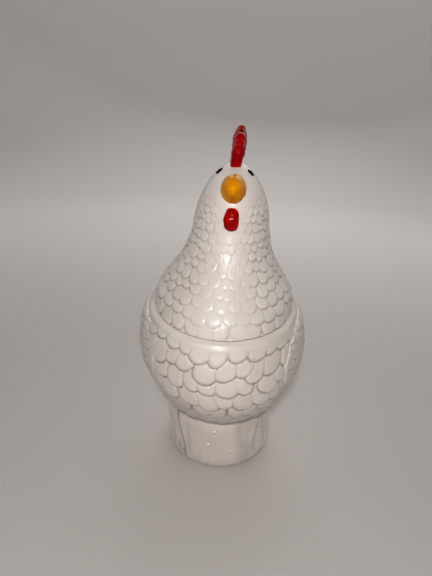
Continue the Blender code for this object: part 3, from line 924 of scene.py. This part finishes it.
def make_comb():
    """The comb's flat outline, plumped over each lobe, remeshed and softened by the glaze."""
    curve = bpy.data.curves.new("comb_outline", "CURVE")
    curve.dimensions = "2D"
    curve.fill_mode = "BOTH"
    curve.extrude = COMB_THICKNESS / 2 - COMB_EDGE
    curve.bevel_depth = COMB_EDGE
    curve.bevel_resolution = 4
    curve.offset = -COMB_EDGE
    outline = comb_outline()
    spline = curve.splines.new("POLY")
    spline.points.add(len(outline) - 1)
    for point, (place, z) in zip(spline.points, outline):
        point.co = (place, z - HEAD_TOP_Z, 0, 1)
    spline.use_cyclic_u = True
    drawn = bpy.data.objects.new("comb_drawn", curve)
    bpy.context.scene.collection.objects.link(drawn)
    bpy.context.view_layer.update()
    graph = bpy.context.evaluated_depsgraph_get()
    flat = bpy.data.meshes.new_from_object(drawn.evaluated_get(graph))
    bm = bmesh.new()
    bm.from_mesh(flat)
    bmesh.ops.remove_doubles(bm, verts=bm.verts, dist=0.00002)
    bpy.data.objects.remove(drawn)
    bpy.data.meshes.remove(flat)
    for place, z, radius, half_thick in COMB_SWELLS:
        stretch = Matrix.Diagonal((radius, radius, half_thick, 1.0))
        swell = Matrix.Translation((place, z - HEAD_TOP_Z, 0)) @ stretch
        bmesh.ops.create_uvsphere(bm, u_segments=32, v_segments=20, radius=1.0, matrix=swell)
    mesh = bpy.data.meshes.new("comb_crest")
    bm.to_mesh(mesh)
    bm.free()
    comb = bpy.data.objects.new("comb_crest", mesh)
    bpy.context.scene.collection.objects.link(comb)
    remesh = comb.modifiers.new("one_skin", "REMESH")
    remesh.mode = "VOXEL"
    remesh.voxel_size = COMB_VOXEL
    soften = comb.modifiers.new("glaze_softened", "SMOOTH")
    soften.factor = 0.5
    soften.iterations = 6
    bpy.context.view_layer.update()
    graph = bpy.context.evaluated_depsgraph_get()
    skin = bpy.data.meshes.new_from_object(comb.evaluated_get(graph))
    comb.modifiers.clear()
    comb.data = skin
    bpy.data.meshes.remove(mesh)
    skin.name = "comb_crest"
    count = len(skin.vertices)
    points = np.empty(count * 3)
    skin.vertices.foreach_get("co", points)
    points = points.reshape(-1, 3)
    normals = np.empty(count * 3)
    skin.vertices.foreach_get("normal", normals)
    normals = normals.reshape(-1, 3)
    waves = (
        np.sin(points[:, 0] * 1100 + 1.0) * np.sin(points[:, 1] * 900 + 2.0)
        + 0.6 * np.sin(points[:, 0] * 1900 + points[:, 2] * 900) * np.sin(points[:, 1] * 1700)
    )
    points = points + normals * (COMB_UNEVENNESS * waves)[:, None]
    rise = np.clip(points[:, 1], 0, None) / (HEIGHT - HEAD_TOP_Z)
    points[:, 2] *= 1 - COMB_TAPER * rise**4
    skin.vertices.foreach_set("co", points.ravel())
    skin.transform(comb_stand())
    skin.materials.clear()
    skin.materials.append(COMB_RED)
    skin.shade_smooth()
    return comb


# ---------------------------------------------------------------- beak, wattle and eyes
BEAK_Z = 0.2137
BEAK_RISE = math.radians(14)
BEAK_ROOT = -0.0080
BEAK_LENGTH = 0.0210
# Share of the length, half width and half height.
BEAK = (
    (0.00, 0.0088, 0.0102),
    (0.38, 0.0078, 0.0092),
    (0.62, 0.0064, 0.0074),
    (0.82, 0.0043, 0.0050),
    (0.95, 0.0021, 0.0025),
)
WATTLE_Z = 0.1965
WATTLE_SIZE = (0.0049, 0.0072, 0.0042)
EYE_ANGLE = math.radians(63)
EYE_Z = 0.2218
EYE_SIZE = (0.0020, 0.0027, 0.0010)


def neck_point(angle, z):
    """The point of the smooth neck at an angle from the breast and a height."""
    side, front, back, sway = reaches_at(NECK, z, 0.0004)
    reach = front if math.cos(angle) > 0 else back
    return Vector((sway + side * math.sin(angle), AXIS_Y - reach * math.cos(angle), z))


def stand_on_neck(angle, z):
    """The matrix of a place on the neck: +Z out of it, +Y up along it and +X to its right."""
    here = neck_point(angle, z)
    across = (neck_point(angle + 0.01, z) - here).normalized()
    out = across.cross(neck_point(angle, z + 0.0004) - here).normalized()
    axes = Matrix((across, out.cross(across), out)).transposed()
    return Matrix.Translation(here) @ axes.to_4x4()


def place_object(obj, matrix):
    obj.data.transform(matrix)
    return obj


def make_beak():
    """Two closed mandibles: a mouth line runs back along both sides from under the tip."""
    around = 120
    t = np.linspace(0, len(BEAK) - 1, 70)
    table = catmull_rom(BEAK, t)
    phi = np.arange(around) * 2 * np.pi / around
    share, half_width, half_height = (column[:, None] for column in table.T)
    rise = np.sin(phi)[None, :]
    groove = np.exp(-((rise + 0.42) / 0.085) ** 2) * smoothstep(0.25, 0.6, share)
    ridge = np.exp(-((phi[None, :] - np.pi / 2) / 0.30) ** 2) * smoothstep(0.1, 0.5, share)
    lower = smoothstep(-0.30, -0.55, rise) * smoothstep(0.4, 0.95, share)
    swell = 1 - 0.045 * groove + 0.035 * ridge + 0.02 * lower
    x = half_width * np.cos(phi)[None, :] * swell
    y = half_height * rise * swell - 0.0007 * smoothstep(0.7, 1.0, share)
    z = BEAK_ROOT + share * BEAK_LENGTH - 0.0004 * lower + 0 * rise
    points = np.stack((x, y, z), axis=-1)
    for cheek in (-1, 1):
        spot = np.array((cheek * 0.0036, 0.0062, BEAK_ROOT + 0.56 * BEAK_LENGTH))
        away = (points - spot) / np.array((0.0010, 0.0008, 0.0016))
        dent = np.exp(-(away**2).sum(axis=-1))
        points[..., :2] *= (1 - 0.05 * dent)[..., None]
    crease = 1 - 0.3 * groove
    root = (0, 0, BEAK_ROOT)
    tip = (0, -0.0007, BEAK_ROOT + BEAK_LENGTH)
    zones = [0] * (len(points) - 1)
    beak = stack_rings("beak_pair", [*points], (BEAK_YELLOW,), zones, [*crease], root, tip)
    forward = Matrix.Rotation(math.pi / 2 - BEAK_RISE, 4, "X")
    return place_object(beak, Matrix.Translation(neck_point(0, BEAK_Z)) @ forward)


def make_bead(name, size, place, material, full=1.0, lumps=0.0, seed=0):
    """An oval bead with its poles at the ends of its height.

    full below 1 squares off its ends, and lumps is how uneven it is.
    """
    around, high = 72, 44
    phi = np.arange(around)[None, :] * 2 * np.pi / around
    tilt = np.linspace(-np.pi / 2, np.pi / 2, high + 2)[1:-1][:, None]
    turn = phi / (2 * np.pi)
    radius = 1 + lumps * value_noise(turn, (tilt + np.pi / 2) / np.pi, 11, 8, seed) * np.cos(tilt)
    waist = np.cos(tilt) ** full
    x = size[0] * waist * np.sin(phi) * radius
    y = size[1] * np.sin(tilt) * radius
    z = size[2] * waist * np.cos(phi) * radius
    points = np.stack((x, y, z), axis=-1)
    ends = (0, -size[1], 0), (0, size[1], 0)
    bead = stack_rings(name, [*points], (material,), [0] * (high - 1), [1.0] * high, *ends)
    return place_object(bead, place)


# ---------------------------------------------------------------- pieces on their bodies
def stand_for(piece, node, body):
    """The piece takes the place of a CAD node, on its body."""
    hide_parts(node)
    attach(piece, body)


stand_for(make_jar(), "jar_body", "jar")
stand_for(make_pedestal(), "pedestal_foot", "jar")
stand_for(make_wing("wing_fan_left", 1, 41, 0.36), "wing_left", "jar")
stand_for(make_wing("wing_fan_right", -1, 51, 0.10), "wing_right", "jar")
stand_for(make_tail(), "tail", "jar")
stand_for(make_lid(), "lid_shell", "lid")
stand_for(make_comb(), "comb", "lid")
stand_for(make_beak(), "beak", "lid")
throat = stand_on_neck(0, WATTLE_Z)
wattle = make_bead("wattle_bead", WATTLE_SIZE, throat, WATTLE_RED, full=0.78, lumps=0.13, seed=71)
stand_for(wattle, "wattle", "lid")
for side_name, eye_angle in (("left", EYE_ANGLE), ("right", -EYE_ANGLE)):
    socket = stand_on_neck(eye_angle, EYE_Z)
    eye = make_bead("eye_dot_" + side_name, EYE_SIZE, socket, EYE_BLACK)
    stand_for(eye, "eye_" + side_name, "lid")


# ---------------------------------------------------------------- floor, light and camera
FLOOR_RADIUS = 0.95
COVE_RADIUS = 0.45
STUDIO_HEIGHT = 1.9
STUDIO_AROUND = 96


def add_studio():
    """A pale floor that curves up into a round backdrop, well clear of every viewpoint."""
    profile = [(0.25, 0.0), (FLOOR_RADIUS, 0.0)]
    for degrees in range(10, 91, 10):
        angle = math.radians(degrees)
        radius = FLOOR_RADIUS + COVE_RADIUS * math.sin(angle)
        profile.append((radius, COVE_RADIUS * (1 - math.cos(angle))))
    profile.append((FLOOR_RADIUS + COVE_RADIUS, STUDIO_HEIGHT))
    table = [(z, radius, radius, radius, 0.0) for radius, z in profile]
    around = np.arange(STUDIO_AROUND) * 2 * np.pi / STUDIO_AROUND
    rings = ovals(np.array(table), around)
    zones, creases = [0] * (len(rings) - 1), [1.0] * len(rings)
    studio = stack_rings("studio_floor", [*rings], (), zones, creases, (0, AXIS_Y, 0))
    material, _, _, shader = new_material("pale_floor")
    shader.inputs["Base Color"].default_value = (0.62, 0.597, 0.588, 1)
    shader.inputs["Roughness"].default_value = 0.65
    studio.data.materials.append(material)


def add_light(name, place, target, size, power, colour):
    light = bpy.data.lights.new(name, "AREA")
    light.shape = "DISK"
    light.size = size
    light.energy = power
    light.color = colour
    lamp = bpy.data.objects.new(name, light)
    lamp.location = place
    aim = Vector(target) - Vector(place)
    lamp.rotation_euler = aim.to_track_quat("-Z", "Y").to_euler()
    bpy.context.scene.collection.objects.link(lamp)


def add_world():
    world = bpy.data.worlds.new("studio")
    world.use_nodes = True
    background = world.node_tree.nodes["Background"]
    background.inputs["Color"].default_value = (0.95, 0.93, 0.92, 1)
    background.inputs["Strength"].default_value = 0.04
    bpy.context.scene.world = world


CAMERA_PLACE = (-0.0067, -0.295, 0.2646)       # from the foot of the jar's axis
CAMERA_TURN = math.radians(2.5)                 # round that axis, towards the hen's left
CAMERA_DOWN = math.radians(23.6)
CAMERA_ROLL = math.radians(3.1)


def add_camera():
    """A phone's wide lens held close, in front of the hen and above it, looking down."""
    camera = bpy.data.cameras.new("camera")
    camera.sensor_width = 36.0
    camera.lens = 27.06
    camera.clip_start = 0.01
    viewer = bpy.data.objects.new("camera", camera)
    bpy.context.scene.collection.objects.link(viewer)
    axis = Matrix.Translation((0, AXIS_Y, 0)) @ Matrix.Rotation(CAMERA_TURN, 4, "Z")
    down = Matrix.Rotation(math.pi / 2 - CAMERA_DOWN, 4, "X")
    roll = Matrix.Rotation(CAMERA_ROLL, 4, "Z")
    viewer.matrix_world = axis @ Matrix.Translation(CAMERA_PLACE) @ down @ roll
    bpy.context.scene.camera = viewer


add_studio()
MIDDLE = (0, 0, 0.12)
WARM_WHITE = (1.0, 0.99, 0.97)
add_light("key", (-0.005, -0.405, 0.392), MIDDLE, 0.040, 0.92, (1.0, 0.98, 0.95))
add_light("fill", (0.90, -0.20, 0.60), MIDDLE, 0.9, 0.15, (0.97, 1.0, 0.97))
add_light("behind", (0.05, 0.95, 0.75), MIDDLE, 0.9, 2.1, WARM_WHITE)
add_light("back_left", (0.70, 0.62, 0.60), MIDDLE, 0.9, 0.85, WARM_WHITE)
add_light("back_right", (-0.70, 0.62, 0.60), MIDDLE, 0.9, 0.70, WARM_WHITE)
# lights near the middle, high up, that light the backdrop in these directions from +X
for turn, power in ((60, 1.9), (120, 1.8), (240, 0.7), (300, 0.7)):
    outward = Vector((math.cos(math.radians(turn)), math.sin(math.radians(turn)), 0))
    place = outward * 0.5 + Vector((0, 0, 0.95))
    wall = outward * (FLOOR_RADIUS + COVE_RADIUS) + Vector((0, 0, 0.35))
    add_light("wall_%d" % turn, place, wall, 0.5, power, (1.0, 1.0, 1.0))
add_world()
add_camera()
bpy.context.scene.view_settings.view_transform = "Standard"
bpy.context.scene.view_settings.look = "High Contrast"
